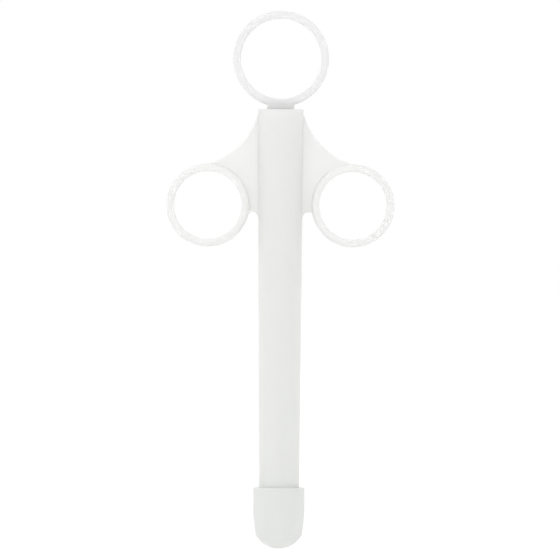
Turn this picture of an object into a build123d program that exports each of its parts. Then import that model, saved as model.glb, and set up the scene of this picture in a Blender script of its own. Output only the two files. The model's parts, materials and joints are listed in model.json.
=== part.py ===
from build123d import *
import os
from math import sqrt

# Three-ring hand injector: a moulded barrel with two finger rings, a plunger with
# a thumb ring and a soft piston seal, and a push-on end cap. All sizes in millimetres.
#
# Z runs up the barrel's axis, X across the two finger rings, Y through the rings.
# The origin is the tip of the cap's dome, with the cap on and the plunger pushed home.

# ---- end cap ----
cap_length = 21.4            # dome tip to rim
cap_wall = 1.9               # round the barrel's nose, and kept by the cored flank and dome
cap_shoulder_height = 12.0   # where the straight grip gives way to the drafted flank
cap_flank_draft = 0.9        # how far the flank draws in, from the grip to the dome's corner
cap_dome_height = 4.85       # dome tip to the blunt corner where flank and dome meet
cap_rim_chamfer = 0.5
cap_lead_in = 0.4
socket_depth = 8.8           # how far the barrel's nose goes in
cap_rib_thickness = 1.2
cap_rib_pairs = 2
plug_setback = 0.3           # plug's tip below the floor of the bore
plug_tip_chamfer = 0.4

# ---- barrel ----
barrel_length = 141.1        # nose to rim
bore_diameter = 12.0
mouth_wall = 2.0             # at the rim; the outside is drafted and the bore is straight
nose_wall = 0.95
end_wall = 1.4               # closes the nose and stops the piston
outlet_diameter = 4.5
nose_chamfer = 1.2
bore_corner = 0.8            # chamfer between bore and end wall, matched by the seal's front edge
rim_chamfer = 0.4
mouth_lead_in = 0.4

# ---- finger rings and webs ----
finger_hole_diameter = 23.7
finger_band = 2.65           # radial thickness of the ring
finger_band_width = 6.0      # along the hole's axis
finger_drop = 33.6           # hole centres below the barrel's rim
finger_gap = 3.15            # ring clear of the barrel, level with the hole's centre
web_thickness = 2.6
web_top_drop = 1.6           # where the web's upper edge leaves the barrel, below the rim
web_sweep_radius = 25.0      # concave upper edge
web_arch_ease = 0.375        # by which the arch between barrel and ring outgrows a half circle of their gap
web_edge_chamfer = 0.5

# ---- plunger ----
thumb_hole_diameter = 28.1
thumb_band = 2.75
thumb_band_width = 6.0
thumb_gap = 0.95             # ring above the barrel's rim with the plunger home
neck_thickness = 5.0
neck_depth = 6.0             # how far the neck reaches below the barrel's rim
neck_round = 1.0
neck_run_out = 1.3
shaft_rib_thickness = 1.8
shaft_root_round = 0.9
shaft_run_out = 2.0
disc_thickness = 1.4
disc_spacing = 9.0           # thrust disc to guide disc
spigot_diameter = 4.6
spigot_length = 1.2
spigot_head_diameter = 6.6
spigot_head_length = 1.6
spigot_head_cone = 0.6

# ---- piston seal ----
seal_lip_height = 1.1
seal_waist_depth = 0.7       # the waist slopes in from both lips by as much
seal_waist_length = 0.4

# ---- shared by all the rings ----
ring_crown = 0.6             # how far the outer face slopes away to its edges
ring_crown_flat = 2.2        # width of the level middle of the outer face
ring_hole_chamfer = 0.6

# ---- fits and clearances (radial or along the axis, never both sides together) ----
cap_fit = 0.05               # cap on the barrel's nose, and plug in the outlet
cap_seat_gap = 0.05          # cap's ribs under the nose
seal_fit = 0.05              # seal lips in the bore
stop_gap = 0.05              # seal above the end wall with the plunger home
spigot_fit = 0.05            # spigot in the seal
disc_clearance = 0.3         # discs in the bore
neck_clearance = 1.2         # edges of the neck in the bore
shaft_clearance = 1.25       # ribs of the shaft in the bore
web_bite = 0.4               # how deep the webs die into the rings

# ---- heights and radii that follow ----
nose_z = cap_length - socket_depth
mouth_z = nose_z + barrel_length
floor_z = nose_z + end_wall
bore_radius = bore_diameter / 2
nose_radius = bore_radius + nose_wall
mouth_radius = bore_radius + mouth_wall
finger_z = mouth_z - finger_drop
finger_outer_radius = finger_hole_diameter / 2 + finger_band
thumb_outer_radius = thumb_hole_diameter / 2 + thumb_band
thumb_z = mouth_z + thumb_gap + thumb_outer_radius
seal_length = bore_corner + 2 * (seal_lip_height + seal_waist_depth) + seal_waist_length
seal_z = floor_z + stop_gap
shaft_z = seal_z + seal_length + spigot_fit
draft_at_rings = (mouth_radius - nose_radius) * (finger_z - nose_z) / barrel_length
finger_x = nose_radius + draft_at_rings + finger_gap + finger_outer_radius
web_arch_radius = (finger_gap + web_bite) / 2 + web_arch_ease
draft_in_socket = (mouth_radius - nose_radius) * socket_depth / barrel_length
socket_radius = nose_radius + max(draft_in_socket, 0) + cap_fit
cap_grip_radius = socket_radius + cap_wall
cap_corner_radius = cap_grip_radius - cap_flank_draft
cap_dome_radius = (cap_corner_radius**2 + cap_dome_height**2) / (2 * cap_dome_height)


def turned(*corners):
    """Solid turned about Z from (radius, height) corners."""
    outline = Polyline(*corners, close=True)
    return revolve(Plane.XZ * make_face(outline.edges()), Axis.Z)


def ring(hole_diameter, band, width, centre):
    """Finger ring about an axis along Y, with a bevelled outer face and a straight hole."""
    hole_radius = hole_diameter / 2
    outer_radius = hole_radius + band
    half = width / 2
    hoop = turned(
        (hole_radius + ring_hole_chamfer, -half),
        (outer_radius - ring_crown, -half),
        (outer_radius, -ring_crown_flat / 2),
        (outer_radius, ring_crown_flat / 2),
        (outer_radius - ring_crown, half),
        (hole_radius + ring_hole_chamfer, half),
        (hole_radius, half - ring_hole_chamfer),
        (hole_radius, ring_hole_chamfer - half),
    )
    return Pos(*centre) * Rot(X=90) * hoop


def through_hole(diameter, length, centre):
    """Straight hole along Y."""
    return Pos(*centre) * Rot(X=90) * Cylinder(diameter / 2, length)


def barrel_radius(height):
    """Outside radius of the drafted barrel at a height."""
    share = (height - nose_z) / barrel_length
    return nose_radius + share * (mouth_radius - nose_radius)


def circles_meet(centre_a, radius_a, centre_b, radius_b):
    """The crossing of two circles that lies to the left, going from a to b."""
    span = centre_b - centre_a
    along = (radius_a**2 - radius_b**2 + span.length**2) / (2 * span.length)
    across = sqrt(radius_a**2 - along**2)
    heading = span.normalized()
    left = Vector(-heading.Y, heading.X)
    return centre_a + heading * along + left * across


def web_outline():
    """The web between barrel and ring, seen along Y, with its swept top and arched foot."""
    ring_centre = Vector(finger_x, finger_z)
    top_z = mouth_z - web_top_drop
    top = Vector(barrel_radius(top_z), top_z)
    reach = finger_outer_radius - web_bite
    sweep_centre = circles_meet(top, web_sweep_radius, ring_centre, web_sweep_radius + reach)
    sweep_end = ring_centre + (sweep_centre - ring_centre).normalized() * reach

    side = barrel_radius(finger_z - finger_outer_radius)
    arch_x = side + web_arch_radius
    arch_reach = reach + web_arch_radius
    arch_drop = sqrt(arch_reach**2 - (finger_x - arch_x) ** 2)
    arch = Vector(arch_x, finger_z - arch_drop)

    wall_middle = (bore_radius + barrel_radius(finger_z)) / 2
    edges = [
        RadiusArc(top, sweep_end, -web_sweep_radius),
        Polyline(
            sweep_end,
            ring_centre,
            arch,
            Vector(wall_middle, arch.Y),
            Vector(wall_middle, top_z),
            top,
        ),
    ]
    face = make_face([edge for line in edges for edge in line.edges()])
    return face - Pos(arch.X, arch.Y) * Circle(web_arch_radius)


def web():
    """Web plate with its free edges broken."""
    plate = extrude(Plane.XZ * web_outline(), web_thickness / 2, both=True)
    free_edges = plate.edges().filter_by(GeomType.CIRCLE)
    return chamfer(free_edges, web_edge_chamfer)


def bore():
    """The space inside the barrel, with its lead-in and its outlet."""
    chamber = turned(
        (0, floor_z),
        (bore_radius - bore_corner, floor_z),
        (bore_radius, floor_z + bore_corner),
        (bore_radius, mouth_z - mouth_lead_in),
        (bore_radius + mouth_lead_in, mouth_z),
        (0, mouth_z),
    )
    outlet = Pos(0, 0, nose_z) * Cylinder(outlet_diameter / 2, 2 * end_wall)
    return chamber + outlet


def barrel():
    """One moulding: drafted tube, end wall with outlet, two webs and two finger rings."""
    rim_foot_z = mouth_z - rim_chamfer
    nose_head_z = nose_z + nose_chamfer
    tube = turned(
        (0, nose_z),
        (barrel_radius(nose_z) - nose_chamfer, nose_z),
        (barrel_radius(nose_head_z), nose_head_z),
        (barrel_radius(rim_foot_z), rim_foot_z),
        (barrel_radius(mouth_z) - rim_chamfer, mouth_z),
        (0, mouth_z),
    )
    ring_centre = (finger_x, 0, finger_z)
    finger_ring = ring(finger_hole_diameter, finger_band, finger_band_width, ring_centre)
    hole = through_hole(finger_hole_diameter, finger_band_width, ring_centre)
    wing = web() - hole + finger_ring
    return tube + wing + mirror(wing, about=Plane.YZ) - bore()


def plunger_neck():
    """Flat neck from the thumb ring down into the barrel's mouth, with a sloped foot."""
    bottom = mouth_z - neck_depth
    top = mouth_z + thumb_gap + thumb_band / 2
    half = neck_thickness / 2
    foot = half - neck_run_out
    outline = Polyline(
        (-half, top),
        (-half, bottom + neck_run_out),
        (-foot, bottom),
        (foot, bottom),
        (half, bottom + neck_run_out),
        (half, top),
        close=True,
    )
    half_width = bore_radius - neck_clearance
    block = extrude(Plane.YZ * make_face(outline.edges()), half_width, both=True)
    return fillet(block.edges().filter_by(Axis.Z), neck_round)


def plunger_shaft():
    """Cross-ribbed shaft with filleted roots and sloped rib tops."""
    top = mouth_z - neck_depth + neck_run_out
    width = 2 * (bore_radius - shaft_clearance)
    cross = Rectangle(width, shaft_rib_thickness)
    cross += Rectangle(shaft_rib_thickness, width)
    roots = cross.vertices().sort_by_distance((0, 0))[:4]
    cross = fillet(roots, shaft_root_round)
    shaft = extrude(Pos(0, 0, shaft_z) * cross, top - shaft_z)
    rib_tops = shaft.faces().sort_by(Axis.Z)[-1].edges().filter_by(Axis.X).sort_by(Axis.Y)
    return chamfer([rib_tops[0], rib_tops[-1]], shaft_run_out)


def plunger_disc(height):
    """Round disc that keeps the shaft central in the bore."""
    radius = bore_radius - disc_clearance
    return Pos(0, 0, height + disc_thickness / 2) * Cylinder(radius, disc_thickness)


def spigot(gap):
    """Mushroom that holds the seal. The seal's pocket is the same shape, a gap larger."""
    stem = spigot_diameter / 2 + gap
    head = spigot_head_diameter / 2 + gap
    head_top = shaft_z - spigot_length + gap
    head_foot = shaft_z - spigot_length - spigot_head_length - gap
    return turned(
        (0, head_foot),
        (head - spigot_head_cone, head_foot),
        (head, head_foot + spigot_head_cone),
        (head, head_top),
        (stem, head_top),
        (stem, shaft_z),
        (0, shaft_z),
    )


def plunger_rod():
    """One moulding: thumb ring, neck, ribbed shaft, two discs and the spigot."""
    ring_centre = (0, 0, thumb_z)
    thumb_ring = ring(thumb_hole_diameter, thumb_band, thumb_band_width, ring_centre)
    rod = plunger_shaft() + plunger_neck() + thumb_ring + spigot(0)
    for height in (shaft_z, shaft_z + disc_spacing):
        rod += plunger_disc(height)
    return rod


def piston_seal():
    """Soft tip with a wiping lip at each end, pushed over the spigot."""
    lip = bore_radius - seal_fit
    waist = lip - seal_waist_depth
    top = seal_z + seal_length
    front = seal_z + bore_corner
    waist_foot = front + seal_lip_height + seal_waist_depth
    waist_head = top - seal_lip_height - seal_waist_depth
    body = turned(
        (0, seal_z),
        (lip - bore_corner, seal_z),
        (lip, front),
        (lip, front + seal_lip_height),
        (waist, waist_foot),
        (waist, waist_head),
        (lip, top - seal_lip_height),
        (lip, top),
        (0, top),
    )
    return body - spigot(spigot_fit)


def cap_dome(radius):
    """Height of the cap's outer dome at a radius from the axis."""
    return cap_dome_radius - sqrt(cap_dome_radius**2 - radius**2)


def cap_outside():
    """Outer form: straight grip, drafted flank, blunt corner and dome."""
    corner = (cap_corner_radius, cap_dome_height)
    dome = RadiusArc(corner, (0, 0), cap_dome_radius)
    rest = Polyline(
        (0, 0),
        (0, cap_length),
        (cap_grip_radius - cap_rim_chamfer, cap_length),
        (cap_grip_radius, cap_length - cap_rim_chamfer),
        (cap_grip_radius, cap_shoulder_height),
        corner,
    )
    return revolve(Plane.XZ * make_face(dome.edges() + rest.edges()), Axis.Z)


def cap_hollow():
    """Socket that grips the barrel's nose at its rim, and the cored space below it."""
    seat_z = nose_z - cap_seat_gap
    core_foot = cap_corner_radius - 2 * cap_wall
    socket = turned(
        (0, seat_z),
        (socket_radius, seat_z),
        (socket_radius, cap_length - cap_lead_in),
        (socket_radius + cap_lead_in, cap_length),
        (0, cap_length),
    )
    core = turned(
        (0, cap_wall),
        (core_foot, cap_dome(core_foot) + cap_wall),
        (cap_corner_radius - cap_wall, cap_dome_height),
        (cap_grip_radius - cap_wall, seat_z),
        (0, seat_z),
    )
    return socket + core


def end_cap():
    """Push-on cap: domed cup with crossed ribs that carry a plug for the outlet."""
    outside = cap_outside()
    seat_z = nose_z - cap_seat_gap
    rib = Pos(0, 0, seat_z / 2) * Box(2 * cap_grip_radius, cap_rib_thickness, seat_z)
    plug_radius = outlet_diameter / 2 - cap_fit
    plug_top = floor_z - plug_setback
    plug = turned(
        (0, cap_wall / 2),
        (plug_radius, cap_wall / 2),
        (plug_radius, plug_top - plug_tip_chamfer),
        (plug_radius - plug_tip_chamfer, plug_top),
        (0, plug_top),
    )
    cup = outside - cap_hollow()
    for turn in range(cap_rib_pairs):
        cup += (Rot(Z=180 * turn / cap_rib_pairs) * rib) & outside
    return cup + plug


PARTS = {
    "barrel": barrel,
    "plunger_rod": plunger_rod,
    "piston_seal": piston_seal,
    "end_cap": end_cap,
}

os.makedirs("parts", exist_ok=True)
for node, make in PARTS.items():
    shape = make()
    export_step(shape, f"parts/{node}.step")
    print(node, len(shape.solids()), "solid", round(shape.volume, 1), "mm3")
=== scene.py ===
import json
from math import atan2, cos, pi, radians, sin, sqrt

import bmesh
import bpy
from mathutils import Matrix, Vector
from mathutils.geometry import intersect_sphere_sphere_2d


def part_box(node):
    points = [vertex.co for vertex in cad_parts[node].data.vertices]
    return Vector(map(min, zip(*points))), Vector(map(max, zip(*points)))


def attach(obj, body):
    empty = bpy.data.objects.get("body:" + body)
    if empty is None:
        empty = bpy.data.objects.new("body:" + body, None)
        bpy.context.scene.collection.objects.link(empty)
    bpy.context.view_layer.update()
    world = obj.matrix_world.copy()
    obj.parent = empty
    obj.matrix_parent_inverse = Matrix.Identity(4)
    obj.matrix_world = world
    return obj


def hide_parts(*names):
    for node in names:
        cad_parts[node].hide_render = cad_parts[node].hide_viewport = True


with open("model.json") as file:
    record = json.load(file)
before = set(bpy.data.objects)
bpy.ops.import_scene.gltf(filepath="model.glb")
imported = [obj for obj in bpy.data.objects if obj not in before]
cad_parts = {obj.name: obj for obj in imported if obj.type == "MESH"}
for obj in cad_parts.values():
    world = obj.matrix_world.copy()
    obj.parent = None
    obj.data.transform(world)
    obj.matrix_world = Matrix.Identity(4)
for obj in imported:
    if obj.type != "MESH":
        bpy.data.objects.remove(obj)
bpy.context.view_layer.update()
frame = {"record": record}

# ---------------------------------------------------------------------------
# Sizes, in metres. Heights and ring places come from the frame; walls, rounds
# and ribs that the frame's boxes don't give are named here.
# ---------------------------------------------------------------------------
MM = 0.001

mounts = {mount["name"]: mount for mount in frame["record"]["mounts"]}
barrel_low, barrel_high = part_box("barrel")
_, rod_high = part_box("plunger_rod")
seal_low, seal_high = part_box("piston_seal")
cap_low, cap_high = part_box("end_cap")

nose_z = barrel_low.z
mouth_z = barrel_high.z
finger_centre = Vector(mounts["finger_ring_right"]["pos_m"])
finger_hole_radius = mounts["finger_ring_right"]["dims"]["r_mm"] * MM
thumb_centre = Vector(mounts["thumb_ring"]["pos_m"])
thumb_hole_radius = mounts["thumb_ring"]["dims"]["r_mm"] * MM
finger_outer_radius = barrel_high.x - finger_centre.x
thumb_outer_radius = rod_high.z - thumb_centre.z

mouth_radius = 8.0 * MM
nose_radius = 6.95 * MM
bore_radius = 6.0 * MM
end_wall = 1.4 * MM
outlet_radius = 2.25 * MM
outlet_round = 0.2 * MM
nose_round = 1.3 * MM
rim_round = 0.5 * MM
mouth_lead_in = 0.4 * MM
bore_corner = 0.8 * MM

band_width = 6.0 * MM
band_outer_round = 1.3 * MM
band_hole_round = 0.6 * MM

web_half = 1.3 * MM
web_top_drop = 1.6 * MM
web_sweep_radius = 25.0 * MM
web_notch_radius = 2.15 * MM
web_bite = 0.4 * MM
web_edge_round = 0.55 * MM

neck_width = 9.6 * MM
neck_thickness = 5.0 * MM
neck_depth = 6.0 * MM
neck_round = 1.0 * MM
neck_overlap = 1.3 * MM      # how far the shaft runs up into the neck
collar_lift = 0.25 * MM      # collar clear of the barrel's rim
collar_inset = 0.3 * MM      # by which the collar is narrower than the ring
collar_round = 1.2 * MM
shaft_width = 9.5 * MM
shaft_rib = 1.8 * MM
shaft_root_round = 0.9 * MM
shaft_edge_round = 0.25 * MM
disc_radius = 5.7 * MM
disc_thickness = 1.4 * MM
disc_round = 0.2 * MM
disc_spacing = 9.0 * MM
shaft_z = seal_high.z + 0.05 * MM

spigot_neck_radius = 2.3 * MM
spigot_head_radius = 3.3 * MM
spigot_tip_radius = 2.7 * MM
spigot_round = 0.1 * MM
spigot_tip_drop = 2.8 * MM   # drops are measured down from the shaft's foot
spigot_slope_drop = 2.2 * MM
spigot_head_drop = 1.2 * MM
pocket_gap = 0.05 * MM       # between the spigot and its pocket

seal_face_round = 0.8 * MM
seal_lip_round = 0.25 * MM
seal_round = 0.1 * MM
seal_waist_depth = 0.7 * MM
seal_front_lip = 1.9 * MM
seal_back_lip = 1.1 * MM

cap_wall = 1.9 * MM
cap_grip_radius = cap_high.x
cap_corner_radius = cap_grip_radius - 0.9 * MM
cap_dome_height = 4.85 * MM
cap_dome_radius = (cap_corner_radius**2 + cap_dome_height**2) / (2 * cap_dome_height)
cap_shoulder_z = 12.0 * MM
cap_shoulder_round = 2.5 * MM
cap_rim_round = 0.6 * MM
cap_lead_in = 0.4 * MM
cap_fit = 0.05 * MM
cap_rib = 1.2 * MM
cap_rib_round = 0.1 * MM
plug_reach = 1.1 * MM
plug_round = 0.4 * MM
seat_gap = 0.05 * MM

ROUND_STEPS = 192            # facets round the barrel, cap and rings
CORNER_STEPS = 5             # facets in a rounded corner
RIM_STEPS = 4                # facets on a web's broken edge
EDGE_STEPS = 3               # facets on a shaft rib's broken edge
WEB_ARC_STEPS = 48           # facets along the web's sweep and its buried arc
ARCH_STEPS = 24              # facets along the web's arched foot
DOME_STEPS = 32              # facets from the cap's corner to its tip, outside
HOLLOW_STEPS = 24            # and inside
CREASE_ANGLE = radians(32)   # faces that meet at more than this keep a crease


# ---------------------------------------------------------------------------
# Shaping helpers
# ---------------------------------------------------------------------------
def outline(corners):
    """A bmesh with one face in the XZ plane, from (x, z, corner round) corners."""
    bm = bmesh.new()
    verts = [bm.verts.new((x, 0, z)) for x, z, _ in corners]
    bm.faces.new(verts)
    for vert, (_, _, size) in zip(verts, corners):
        if size:
            bmesh.ops.bevel(
                bm, geom=[vert], offset=size, affect="VERTICES",
                segments=CORNER_STEPS, profile=0.5, material=-1,
            )
    return bm


def turned(corners, centre=(0, 0, 0), about_y=False):
    """Closed solid turned from (radius, height, corner round) corners, about Z or about Y."""
    bm = outline(corners)
    bmesh.ops.delete(bm, geom=bm.faces[:], context="FACES_ONLY")
    on_axis = [edge for edge in bm.edges if all(abs(vert.co.x) < 1e-7 for vert in edge.verts)]
    bmesh.ops.delete(bm, geom=on_axis, context="EDGES")
    bmesh.ops.spin(
        bm, geom=bm.verts[:] + bm.edges[:], cent=(0, 0, 0), axis=(0, 0, 1),
        angle=2 * pi, steps=ROUND_STEPS, use_merge=True,
    )
    if about_y:
        bmesh.ops.rotate(bm, verts=bm.verts, cent=(0, 0, 0), matrix=Matrix.Rotation(pi / 2, 3, "X"))
    bmesh.ops.translate(bm, verts=bm.verts, vec=centre)
    return bm


def tidy(bm):
    """Merges doubles and turns every face outwards."""
    bmesh.ops.remove_doubles(bm, verts=bm.verts, dist=1e-7)
    bmesh.ops.recalc_face_normals(bm, faces=bm.faces)


def as_object(name, bm):
    """Closes a bmesh into an object that sits at the origin."""
    tidy(bm)
    mesh = bpy.data.meshes.new(name)
    bm.to_mesh(mesh)
    bm.free()
    obj = bpy.data.objects.new(name, mesh)
    bpy.context.scene.collection.objects.link(obj)
    return obj


def mirrored(bm):
    """A copy on the other side of the YZ plane."""
    copy = bm.copy()
    bmesh.ops.scale(copy, vec=(-1, 1, 1), verts=copy.verts)
    bmesh.ops.reverse_faces(copy, faces=copy.faces)
    return copy


def moulding(name, solids):
    """One closed moulding from overlapping solids."""
    objects = [as_object(f"{name}_stock_{number}", bm) for number, bm in enumerate(solids)]
    base = objects[0]
    for other in objects[1:]:
        join = base.modifiers.new("join", "BOOLEAN")
        join.operation = "UNION"
        join.solver = "EXACT"
        join.object = other
    depsgraph = bpy.context.evaluated_depsgraph_get()
    mesh = bpy.data.meshes.new_from_object(base.evaluated_get(depsgraph))
    for obj in objects:
        stock = obj.data
        bpy.data.objects.remove(obj)
        bpy.data.meshes.remove(stock)
    bm = bmesh.new()
    bm.from_mesh(mesh)
    bpy.data.meshes.remove(mesh)
    return as_object(name, bm)


def smooth(obj, angle):
    """Smooth shading, with creases where faces meet at more than the angle."""
    for polygon in obj.data.polygons:
        polygon.use_smooth = True
    obj.data.set_sharp_from_angle(angle=angle)


def thicken(bm, way):
    """Draws the faces of a flat bmesh out along a vector into a closed solid."""
    grown = bmesh.ops.extrude_face_region(bm, geom=bm.faces[:], use_keep_orig=True)["geom"]
    bmesh.ops.translate(bm, verts=[item for item in grown if isinstance(item, bmesh.types.BMVert)], vec=way)


def swing(bm, vert, centre, angle, steps):
    """Carries a vertex round a centre in the XZ plane, leaving edges, and returns where it ends."""
    spun = bmesh.ops.spin(
        bm, geom=[vert], cent=(centre.x, 0, centre.y), axis=(0, -1, 0), angle=angle, steps=steps,
    )
    return next(item for item in spun["geom_last"] if isinstance(item, bmesh.types.BMVert))


def turn_between(centre, start, end):
    """Smallest turn about a centre, anticlockwise, that carries start to end."""
    first = atan2(start.y - centre.y, start.x - centre.x)
    last = atan2(end.y - centre.y, end.x - centre.x)
    turn = (last - first) % (2 * pi)
    return turn if turn < pi else turn - 2 * pi


def lies_on(edge, centre, radius):
    """Whether both ends of an edge are on a circle seen along Y."""
    return all(
        abs((Vector((vert.co.x, vert.co.z)) - centre).length - radius) < 0.01 * MM for vert in edge.verts
    )


# ---------------------------------------------------------------------------
# Barrel: tube, two webs and two finger rings in one moulding
# ---------------------------------------------------------------------------
def tube_radius(height):
    """Outside radius of the drafted tube."""
    share = (height - nose_z) / (mouth_z - nose_z)
    return nose_radius + share * (mouth_radius - nose_radius)


def tube():
    """Drafted tube with an end wall and its outlet."""
    floor_z = nose_z + end_wall
    return turned([
        (outlet_radius, nose_z, outlet_round),
        (nose_radius, nose_z, nose_round),
        (mouth_radius, mouth_z, rim_round),
        (bore_radius, mouth_z, mouth_lead_in),
        (bore_radius, floor_z, bore_corner),
        (outlet_radius, floor_z, outlet_round),
    ])


def band(hole_radius, outer_radius, centre):
    """Finger or thumb ring, rounded along its edges."""
    half = band_width / 2
    return turned([
        (hole_radius, -half, band_hole_round),
        (outer_radius, -half, band_outer_round),
        (outer_radius, half, band_outer_round),
        (hole_radius, half, band_hole_round),
    ], centre, about_y=True)


def web():
    """Web plate on the +X side: swept top, arched foot, ends buried in tube and ring."""
    hub = Vector((finger_centre.x, finger_centre.z))
    reach = finger_outer_radius - web_bite
    middle = (finger_hole_radius + finger_outer_radius) / 2
    wall_x = (bore_radius + nose_radius) / 2

    top_z = mouth_z - web_top_drop
    top = Vector((tube_radius(top_z), top_z))
    crossings = intersect_sphere_sphere_2d(top, web_sweep_radius, hub, web_sweep_radius + reach)
    sweep_centre = max(crossings, key=lambda point: point.x)
    sweep_way = (sweep_centre - hub).normalized()

    side = tube_radius(hub.y - finger_outer_radius)
    notch_x = side + web_notch_radius
    notch_drop = sqrt((reach + web_notch_radius) ** 2 - (hub.x - notch_x) ** 2)
    notch = Vector((notch_x, hub.y - notch_drop))
    notch_way = (notch - hub).normalized()

    bm = bmesh.new()
    inner_top = bm.verts.new((wall_x, 0, top_z))
    first = bm.verts.new((top.x, 0, top.y))
    sweep_turn = turn_between(sweep_centre, top, hub + sweep_way * reach)
    sweep_end = swing(bm, first, sweep_centre, sweep_turn, WEB_ARC_STEPS)
    buried = hub + sweep_way * middle
    ring_start = bm.verts.new((buried.x, 0, buried.y))
    ring_turn = turn_between(hub, buried, hub + notch_way * middle)
    ring_end = swing(bm, ring_start, hub, ring_turn, WEB_ARC_STEPS)
    tangent = hub + notch_way * reach
    notch_start = bm.verts.new((tangent.x, 0, tangent.y))
    notch_turn = turn_between(notch, tangent, Vector((side, notch.y)))
    notch_end = swing(bm, notch_start, notch, abs(notch_turn), ARCH_STEPS)
    inner_foot = bm.verts.new((wall_x, 0, notch.y))
    for pair in (
        (inner_top, first), (sweep_end, ring_start), (ring_end, notch_start),
        (notch_end, inner_foot), (inner_foot, inner_top),
    ):
        bm.edges.new(pair)
    bmesh.ops.contextual_create(bm, geom=bm.edges[:])

    bmesh.ops.translate(bm, verts=bm.verts, vec=(0, -web_half, 0))
    thicken(bm, (0, 2 * web_half, 0))
    tidy(bm)
    free_rims = [
        edge for edge in bm.edges if edge.calc_face_angle(0) > 1 and (
            lies_on(edge, sweep_centre, web_sweep_radius) or lies_on(edge, notch, web_notch_radius)
        )
    ]
    bmesh.ops.bevel(
        bm, geom=free_rims, offset=web_edge_round, affect="EDGES",
        segments=RIM_STEPS, profile=0.5, material=-1,
    )
    return bm


def make_barrel():
    """Tube, webs and finger rings."""
    finger_ring = band(finger_hole_radius, finger_outer_radius, finger_centre)
    plate = web()
    return moulding("barrel_moulding", [tube(), plate, mirrored(plate), finger_ring, mirrored(finger_ring)])


# ---------------------------------------------------------------------------
# Plunger: thumb ring, neck, cross-ribbed shaft, discs and spigot
# ---------------------------------------------------------------------------
def block(size, centre, edge_round):
    """Box with its upright edges rounded."""
    bm = bmesh.new()
    bmesh.ops.create_cube(bm, size=1)
    bmesh.ops.scale(bm, vec=size, verts=bm.verts)
    upright = [edge for edge in bm.edges if abs(edge.verts[0].co.z - edge.verts[1].co.z) > size[2] / 2]
    bmesh.ops.bevel(
        bm, geom=upright, offset=edge_round, affect="EDGES",
        segments=CORNER_STEPS, profile=0.5, material=-1,
    )
    bmesh.ops.translate(bm, verts=bm.verts, vec=centre)
    return bm


def shaft():
    """Cross section with rounded roots, drawn up to the neck."""
    wide, rib = shaft_width / 2, shaft_rib / 2
    top = mouth_z - neck_depth + neck_overlap
    quarter = [(wide, -rib), (wide, rib), (rib, rib)]
    bm = bmesh.new()
    verts = []
    for turn in range(4):
        c, s = cos(turn * pi / 2), sin(turn * pi / 2)
        verts += [bm.verts.new((x * c - y * s, x * s + y * c, shaft_z)) for x, y in quarter]
    bm.faces.new(verts)
    roots = [vert for vert in verts if vert.co.xy.length < 2 * rib]
    bmesh.ops.bevel(
        bm, geom=roots, offset=shaft_root_round, affect="VERTICES",
        segments=CORNER_STEPS, profile=0.5, material=-1,
    )
    thicken(bm, (0, 0, top - shaft_z))
    tidy(bm)
    ends = [
        edge for edge in bm.edges
        if abs(edge.calc_face_angle(0) - pi / 2) < 0.1
        and abs(edge.verts[0].co.z - edge.verts[1].co.z) > 1 * MM
    ]
    bmesh.ops.bevel(
        bm, geom=ends, offset=shaft_edge_round, affect="EDGES",
        segments=EDGE_STEPS, profile=0.5, material=-1,
    )
    return bm


def disc(height):
    """Thrust or guide disc."""
    return turned([
        (0, height, 0),
        (disc_radius, height, disc_round),
        (disc_radius, height + disc_thickness, disc_round),
        (0, height + disc_thickness, 0),
    ])


def spigot():
    """Mushroom head that snaps into the seal."""
    top = shaft_z + disc_thickness / 2
    return turned([
        (0, shaft_z - spigot_tip_drop, 0),
        (spigot_tip_radius, shaft_z - spigot_tip_drop, 0),
        (spigot_head_radius, shaft_z - spigot_slope_drop, spigot_round),
        (spigot_head_radius, shaft_z - spigot_head_drop, spigot_round),
        (spigot_neck_radius, shaft_z - spigot_head_drop, 0),
        (spigot_neck_radius, top, 0),
        (0, top, 0),
    ])


def neck():
    """Flat neck between the shaft and the thumb ring."""
    foot = mouth_z - neck_depth
    head = thumb_centre.z - (thumb_hole_radius + thumb_outer_radius) / 2
    return block((neck_width, neck_thickness, head - foot), (0, 0, (head + foot) / 2), neck_round)


def collar():
    """Where the neck spreads to the full width of the thumb ring above the barrel's rim."""
    low = mouth_z + collar_lift
    head = thumb_centre.z - (thumb_hole_radius + thumb_outer_radius) / 2
    size = (neck_width, band_width - collar_inset, head - low)
    return block(size, (0, 0, (head + low) / 2), collar_round)


def make_plunger():
    """Thumb ring, neck, shaft, discs and spigot."""
    ring = band(thumb_hole_radius, thumb_outer_radius, thumb_centre)
    discs = [disc(shaft_z), disc(shaft_z + disc_spacing)]
    return moulding("plunger_moulding", [shaft(), neck(), collar(), ring, spigot(), *discs])


# ---------------------------------------------------------------------------
# Piston seal and end cap
# ---------------------------------------------------------------------------
def make_seal():
    """Soft tip: two wiping lips and a pocket for the spigot."""
    lip = seal_high.x
    low, high = seal_low.z, seal_high.z
    waist = lip - seal_waist_depth
    pocket_foot = shaft_z - spigot_tip_drop - pocket_gap
    pocket_head = shaft_z - spigot_head_drop + pocket_gap
    slope_rise = spigot_tip_drop - spigot_slope_drop
    pocket_neck = spigot_neck_radius + pocket_gap
    pocket_wide = spigot_head_radius + pocket_gap
    bm = turned([
        (0, low, 0),
        (lip, low, seal_face_round),
        (lip, low + seal_front_lip, seal_lip_round),
        (waist, low + seal_front_lip + seal_waist_depth, seal_round),
        (waist, high - seal_back_lip - seal_waist_depth, seal_round),
        (lip, high - seal_back_lip, seal_lip_round),
        (lip, high, seal_lip_round),
        (pocket_neck, high, seal_round),
        (pocket_neck, pocket_head, seal_round / 2),
        (pocket_wide, pocket_head, seal_round),
        (pocket_wide, pocket_foot + slope_rise, seal_round),
        (spigot_tip_radius + pocket_gap, pocket_foot, seal_round),
        (0, pocket_foot, 0),
    ])
    return as_object("piston_tip", bm)


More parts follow.
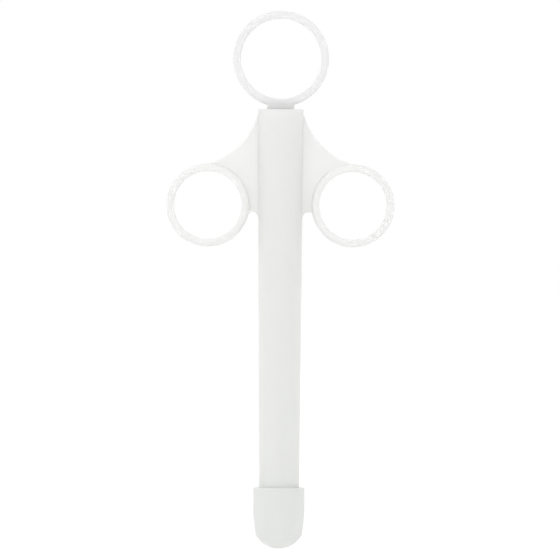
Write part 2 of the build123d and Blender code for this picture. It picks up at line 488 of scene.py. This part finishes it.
def dome_arc(bm, start, end, centre, steps):
    """Arc of a dome in the XZ plane, and the vertices at its two ends."""
    turn = turn_between(centre, start, end)
    vert = bm.verts.new((start.x, 0, start.y))
    return vert, swing(bm, vert, centre, turn, steps)


def cup():
    """Domed cup: straight grip, drafted flank, blunt corner and dome, with an even wall."""
    centre = Vector((0, cap_dome_radius))
    corner_z = cap_dome_radius - sqrt(cap_dome_radius**2 - cap_corner_radius**2)
    socket_radius = tube_radius(cap_high.z) + cap_fit
    seat_z = nose_z - seat_gap
    inner_radius = cap_dome_radius - cap_wall
    inner_corner = cap_corner_radius - cap_wall
    inner_z = cap_dome_radius - sqrt(inner_radius**2 - inner_corner**2)
    bm = bmesh.new()
    outer_last, outer_tip = dome_arc(
        bm, Vector((cap_corner_radius, corner_z)), Vector((0, 0)), centre, DOME_STEPS,
    )
    inner_last, inner_tip = dome_arc(
        bm, Vector((inner_corner, inner_z)), Vector((0, cap_wall)), centre, HOLLOW_STEPS,
    )
    chain = [
        (cap_grip_radius, cap_shoulder_z, cap_shoulder_round),
        (cap_grip_radius, cap_high.z, cap_rim_round),
        (socket_radius, cap_high.z, cap_lead_in),
        (socket_radius, seat_z, 0),
    ]
    verts = [bm.verts.new((x, 0, z)) for x, z, _ in chain]
    path = [outer_last, *verts, inner_last]
    for a, b in zip(path, path[1:]):
        bm.edges.new((a, b))
    axis_edge = bm.edges.new((outer_tip, inner_tip))
    bmesh.ops.contextual_create(bm, geom=bm.edges[:])
    for vert, (_, _, size) in zip(verts, chain):
        if size:
            bmesh.ops.bevel(
                bm, geom=[vert], offset=size, affect="VERTICES",
                segments=CORNER_STEPS, profile=0.5, material=-1,
            )
    bmesh.ops.delete(bm, geom=bm.faces[:], context="FACES_ONLY")
    bmesh.ops.delete(bm, geom=[axis_edge], context="EDGES")
    bmesh.ops.spin(
        bm, geom=bm.verts[:] + bm.edges[:], cent=(0, 0, 0), axis=(0, 0, 1),
        angle=2 * pi, steps=ROUND_STEPS, use_merge=True,
    )
    return bm


def make_cap():
    """Cup with its plug and crossed inner ribs."""
    plug_radius = outlet_radius - cap_fit
    plug_top = nose_z + plug_reach
    plug = turned([
        (0, cap_wall / 2, 0),
        (plug_radius, cap_wall / 2, 0),
        (plug_radius, plug_top, plug_round),
        (0, plug_top, 0),
    ])
    seat_z = nose_z - seat_gap
    reach = cap_corner_radius - cap_wall / 2
    low = cap_wall * 2
    ribs = []
    for size in ((2 * reach, cap_rib), (cap_rib, 2 * reach)):
        ribs.append(block((*size, seat_z - low), (0, 0, (seat_z + low) / 2), cap_rib_round))
    return moulding("cap_moulding", [cup(), plug, *ribs])


# ---------------------------------------------------------------------------
# Materials
# ---------------------------------------------------------------------------
CLOUD_SHADE = 0.985          # how far the flow clouds darken the plastic


def frosted_plastic(name, foot_colour, head_colour, heights, clear, rough, depth_tint, density):
    """Moulded translucent plastic: fine frosting, faint flow clouds, handling scuffs and tinted depth."""
    material = bpy.data.materials.new(name)
    material.use_nodes = True
    nodes, links = material.node_tree.nodes, material.node_tree.links
    shader = nodes["Principled BSDF"]
    shader.inputs["IOR"].default_value = 1.49
    shader.inputs["Transmission Weight"].default_value = clear
    place = nodes.new("ShaderNodeTexCoord")

    def noise(scale, detail, stretch=(1, 1, 1)):
        turn = nodes.new("ShaderNodeMapping")
        turn.inputs["Scale"].default_value = stretch
        texture = nodes.new("ShaderNodeTexNoise")
        texture.inputs["Scale"].default_value = scale
        texture.inputs["Detail"].default_value = detail
        links.new(place.outputs["Object"], turn.inputs["Vector"])
        links.new(turn.outputs["Vector"], texture.inputs["Vector"])
        return texture.outputs["Fac"]

    def spread(source, start, end, low, high):
        """Map range from start..end to low..high, held at its ends."""
        node = nodes.new("ShaderNodeMapRange")
        for socket, value in (("From Min", start), ("From Max", end), ("To Min", low), ("To Max", high)):
            node.inputs[socket].default_value = value
        links.new(source, node.inputs["Value"])
        return node.outputs["Result"]

    def blend(factor, first, last):
        """Mixes two colours, each given as a value or as another node's output."""
        node = nodes.new("ShaderNodeMix")
        node.data_type = "RGBA"
        for socket, value in (("A", first), ("B", last)):
            if isinstance(value, tuple):
                node.inputs[socket].default_value = (*value, 1)
            else:
                links.new(value, node.inputs[socket])
        links.new(factor, node.inputs["Factor"])
        return node.outputs["Result"]

    # Painted light and shade: the base colour blends from the foot colour to the head colour with height,
    # so a part can be painted darker low down and lighter high up
    height = nodes.new("ShaderNodeSeparateXYZ")
    links.new(place.outputs["Object"], height.inputs["Vector"])
    up = spread(height.outputs["Z"], *heights, 0, 1)
    clouds = noise(90, 4)
    cloud_foot, cloud_head = (
        tuple(value * CLOUD_SHADE for value in colour) for colour in (foot_colour, head_colour)
    )
    colour = blend(clouds, blend(up, cloud_foot, cloud_head), blend(up, foot_colour, head_colour))
    links.new(colour, shader.inputs["Base Color"])

    frosting = spread(clouds, 0, 1, rough - 0.06, rough + 0.08)
    scuffs = spread(noise(700, 5, (1, 1, 0.18)), 0.60, 0.72, 0, 0.14)
    worn = nodes.new("ShaderNodeMath")
    worn.operation = "ADD"
    links.new(frosting, worn.inputs[0])
    links.new(scuffs, worn.inputs[1])
    links.new(worn.outputs["Value"], shader.inputs["Roughness"])

    bump = nodes.new("ShaderNodeBump")
    bump.inputs["Strength"].default_value = 0.2
    bump.inputs["Distance"].default_value = 0.03 * MM
    links.new(noise(2600, 3), bump.inputs["Height"])
    links.new(bump.outputs["Normal"], shader.inputs["Normal"])

    absorb = nodes.new("ShaderNodeVolumeAbsorption")
    absorb.inputs["Color"].default_value = (*depth_tint, 1)
    absorb.inputs["Density"].default_value = density
    links.new(absorb.outputs["Volume"], nodes["Material Output"].inputs["Volume"])
    return material


# ---------------------------------------------------------------------------
# Assembly
# ---------------------------------------------------------------------------
GREEN_GREY = (0.80, 0.82, 0.74)
PLAIN_GREY = (0.80, 0.80, 0.80)
SILICONE = (0.97, 0.975, 0.97)
CAP_WHITE = (0.955, 0.965, 0.945)

# Name, colour at the foot and the head, their heights, clearness, roughness, and depth tint and density.
# The barrel's darker foot colour and lighter head colour are painted shade at the nose and painted light at
# the mouth
barrel_frost = frosted_plastic(
    "frosted_barrel", (0.950, 0.960, 0.942), (0.972, 0.974, 0.967),
    (nose_z, mouth_z), 0.3, 0.32, GREEN_GREY, 10,
)
plunger_frost = frosted_plastic(
    "frosted_plunger", (0.935, 0.938, 0.935), (0.935, 0.935, 0.935),
    (shaft_z, rod_high.z), 0.25, 0.36, PLAIN_GREY, 4,
)
seal_rubber = frosted_plastic(
    "pale_silicone", SILICONE, SILICONE, (seal_low.z, seal_high.z), 0.05, 0.5, PLAIN_GREY, 4,
)
cap_frost = frosted_plastic(
    "frosted_cap", CAP_WHITE, CAP_WHITE, (cap_low.z, cap_high.z), 0.35, 0.36, GREEN_GREY, 6,
)

PIECES = (
    (make_barrel, barrel_frost, "barrel", "barrel", "barrel_plastic"),
    (make_plunger, plunger_frost, "plunger_rod", "plunger", "plunger_plastic"),
    (make_seal, seal_rubber, "piston_seal", "piston", "seal_silicone"),
    (make_cap, cap_frost, "end_cap", "cap", "cap_plastic"),
)

for make, material, node, body, slot in PIECES:
    piece = make()
    smooth(piece, CREASE_ANGLE)
    piece.data.materials.clear()
    piece.data.materials.append(material)
    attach(piece, body)
    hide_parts(node)

# ---------------------------------------------------------------------------
# Stage: pale floor, even light, long lens from the front
# ---------------------------------------------------------------------------
FLOOR_Z = -0.05              # low enough for the cap to be pulled right off
FLOOR_RADIUS = 60            # so wide that its edge blends into the background
CAMERA_ROLL = radians(-0.3)  # the object's top leans a little to the right

floor_bm = bmesh.new()
bmesh.ops.create_circle(floor_bm, cap_ends=True, radius=FLOOR_RADIUS, segments=64)
bmesh.ops.translate(floor_bm, verts=floor_bm.verts, vec=(0, 0, FLOOR_Z))
floor = as_object("studio_floor", floor_bm)
floor_paint = bpy.data.materials.new("floor_paint")
floor_paint.use_nodes = True
floor_shader = floor_paint.node_tree.nodes["Principled BSDF"]
floor_shader.inputs["Base Color"].default_value = (0.96, 0.96, 0.96, 1)
floor_shader.inputs["Roughness"].default_value = 0.9
floor.data.materials.append(floor_paint)

world = bpy.data.worlds.new("studio_world")
world.use_nodes = True
world.node_tree.nodes["Background"].inputs["Color"].default_value = (1, 1, 1, 1)
world.node_tree.nodes["Background"].inputs["Strength"].default_value = 1.0
bpy.context.scene.world = world


def softbox(name, place, target, size, power):
    """Square area light aimed at a target."""
    lamp = bpy.data.lights.new(name, "AREA")
    lamp.shape = "SQUARE"
    lamp.size = size
    lamp.energy = power
    obj = bpy.data.objects.new(name, lamp)
    obj.location = place
    obj.rotation_euler = (Vector(target) - Vector(place)).to_track_quat("-Z", "Y").to_euler()
    bpy.context.scene.collection.objects.link(obj)


softbox("key_softbox", (-0.9, -0.9, 1.2), (0, 0, 0.09), 0.8, 1)

overhead = bpy.data.lights.new("overhead_light", "SUN")
overhead.energy = 0.3
overhead.angle = radians(120)
overhead_object = bpy.data.objects.new("overhead_light", overhead)
overhead_object.rotation_euler = (radians(20), radians(-20), 0)
bpy.context.scene.collection.objects.link(overhead_object)

VIEW_HEIGHT = 0.094          # the middle of the framed height
VIEW_WIDTH = 0.196           # framed width at the object
DISTANCE = 2.5

lens = bpy.data.cameras.new("front_camera")
lens.sensor_width = 36
lens.lens = lens.sensor_width * DISTANCE / VIEW_WIDTH
lens.clip_end = 60
camera = bpy.data.objects.new("front_camera", lens)
camera.location = (0, -DISTANCE, VIEW_HEIGHT)
camera.rotation_euler = (pi / 2, CAMERA_ROLL, 0)
bpy.context.scene.collection.objects.link(camera)
bpy.context.scene.camera = camera
bpy.context.scene.view_settings.view_transform = "Standard"

# Light crosses many walls on its way through the capped barrel.
paths = bpy.context.scene.cycles
paths.max_bounces = 40
paths.transmission_bounces = 40
paths.diffuse_bounces = 12
paths.glossy_bounces = 12
